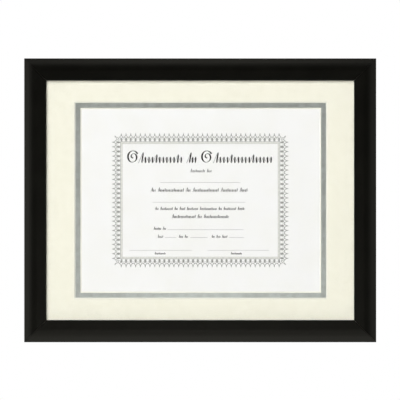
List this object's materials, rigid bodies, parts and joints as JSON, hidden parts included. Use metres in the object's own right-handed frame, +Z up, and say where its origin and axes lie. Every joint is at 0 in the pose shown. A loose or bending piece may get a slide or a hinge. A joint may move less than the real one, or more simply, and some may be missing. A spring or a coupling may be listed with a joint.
{
  "type": "certificate frame",
  "caption": "Black wall frame for a landscape certificate, with glass, a double mat and a back held in by turn buttons.",
  "frame": {"origin": "middle notch of the landscape hanger, where the wall nail carries the frame, on the back plane of the moulding", "axes": "+Z up, +X to the right of someone looking at the face, the face looks towards -Y"},
  "size_m": [0.3938, 0.021, 0.3175],
  "materials": {
    "moulding": "satin black finish, raw wood behind",
    "glass": "clear picture glass",
    "ivory_mat": "ivory mat board, white core",
    "silver_mat": "brushed silver mat board, white core",
    "document": "smooth white paper",
    "card": "plain filler card",
    "hardboard": "smooth brown hardboard",
    "zinc_steel": "zinc-plated steel",
    "bumper": "soft dark rubber"
  },
  "bodies": {
    "frame": {"top_rail": "moulding", "bottom_rail": "moulding", "left_rail": "moulding", "right_rail": "moulding", "glazing": "glass", "top_mat": "ivory_mat", "accent_mat": "silver_mat", "certificate": "document", "filler_board": "card", "backing_board": "hardboard", "left_bumper": "bumper", "right_bumper": "bumper", "top_left_v_nails": "zinc_steel", "top_right_v_nails": "zinc_steel", "bottom_left_v_nails": "zinc_steel", "bottom_right_v_nails": "zinc_steel", "top_left_button_screw": "zinc_steel", "top_right_button_screw": "zinc_steel", "bottom_left_button_screw": "zinc_steel", "bottom_right_button_screw": "zinc_steel", "left_upper_button_screw": "zinc_steel", "left_lower_button_screw": "zinc_steel", "right_upper_button_screw": "zinc_steel", "right_lower_button_screw": "zinc_steel", "landscape_hanger": "zinc_steel", "landscape_hanger_nails": "zinc_steel", "portrait_hanger": "zinc_steel", "portrait_hanger_nails": "zinc_steel"},
    "top_left_turn_button": {"top_left_turn_button": "zinc_steel"},
    "top_right_turn_button": {"top_right_turn_button": "zinc_steel"},
    "bottom_left_turn_button": {"bottom_left_turn_button": "zinc_steel"},
    "bottom_right_turn_button": {"bottom_right_turn_button": "zinc_steel"},
    "left_upper_turn_button": {"left_upper_turn_button": "zinc_steel"},
    "left_lower_turn_button": {"left_lower_turn_button": "zinc_steel"},
    "right_upper_turn_button": {"right_upper_turn_button": "zinc_steel"},
    "right_lower_turn_button": {"right_lower_turn_button": "zinc_steel"}
  },
  "joints": [
    {"name": "top_left_button_turn", "type": "hinge", "parent": "frame", "child": "top_left_turn_button", "pos_m": [-0.095, 0, 0.00208], "axis": [0, 1, 0], "range_deg": [-90, 90]},
    {"name": "top_right_button_turn", "type": "hinge", "parent": "frame", "child": "top_right_turn_button", "pos_m": [0.095, 0, 0.00208], "axis": [0, 1, 0], "range_deg": [-90, 90]},
    {"name": "bottom_left_button_turn", "type": "hinge", "parent": "frame", "child": "bottom_left_turn_button", "pos_m": [-0.095, 0, -0.29692], "axis": [0, 1, 0], "range_deg": [-90, 90]},
    {"name": "bottom_right_button_turn", "type": "hinge", "parent": "frame", "child": "bottom_right_turn_button", "pos_m": [0.095, 0, -0.29692], "axis": [0, 1, 0], "range_deg": [-90, 90]},
    {"name": "left_upper_button_turn", "type": "hinge", "parent": "frame", "child": "left_upper_turn_button", "pos_m": [-0.1876, 0, -0.07742], "axis": [0, 1, 0], "range_deg": [-90, 90]},
    {"name": "left_lower_button_turn", "type": "hinge", "parent": "frame", "child": "left_lower_turn_button", "pos_m": [-0.1876, 0, -0.21743], "axis": [0, 1, 0], "range_deg": [-90, 90]},
    {"name": "right_upper_button_turn", "type": "hinge", "parent": "frame", "child": "right_upper_turn_button", "pos_m": [0.1876, 0, -0.07742], "axis": [0, 1, 0], "range_deg": [-90, 90]},
    {"name": "right_lower_button_turn", "type": "hinge", "parent": "frame", "child": "right_lower_turn_button", "pos_m": [0.1876, 0, -0.21743], "axis": [0, 1, 0], "range_deg": [-90, 90]}
  ]
}
